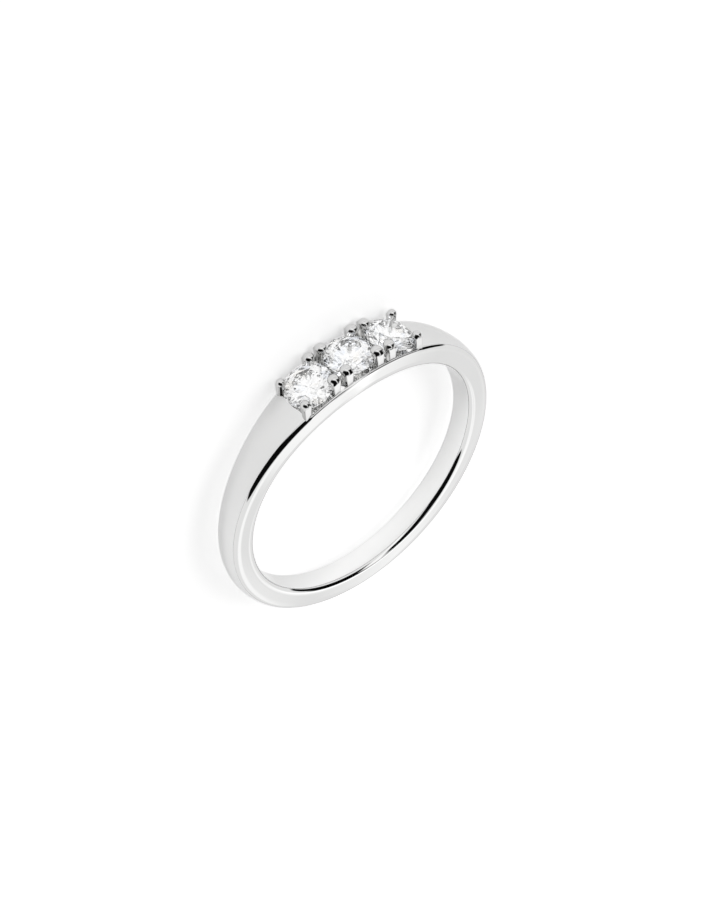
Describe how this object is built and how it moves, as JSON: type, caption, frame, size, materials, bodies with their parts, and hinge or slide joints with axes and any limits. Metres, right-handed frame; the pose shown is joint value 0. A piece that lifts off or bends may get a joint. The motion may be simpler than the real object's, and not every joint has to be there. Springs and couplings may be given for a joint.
{
  "type": "three-stone claw-set stacking ring",
  "caption": "Slim polished white-metal finger ring whose band flares towards a row of round brilliant stones, each held by round-tipped claws above two rails.",
  "frame": {"origin": "middle of the finger hole, on its axis and halfway across the band's width", "axes": "+Z along the finger's axis, upwards as the ring lies on its side; -Y towards the middle stone; +X towards stone_right"},
  "size_m": [0.0196, 0.0206, 0.0032],
  "materials": {
    "band": "high polish, white precious metal",
    "stone": "clear, cut and polished brilliant"
  },
  "bodies": {
    "root": {"band": "band", "stone_left": "stone", "stone_centre": "stone", "stone_right": "stone"}
  },
  "joints": []
}
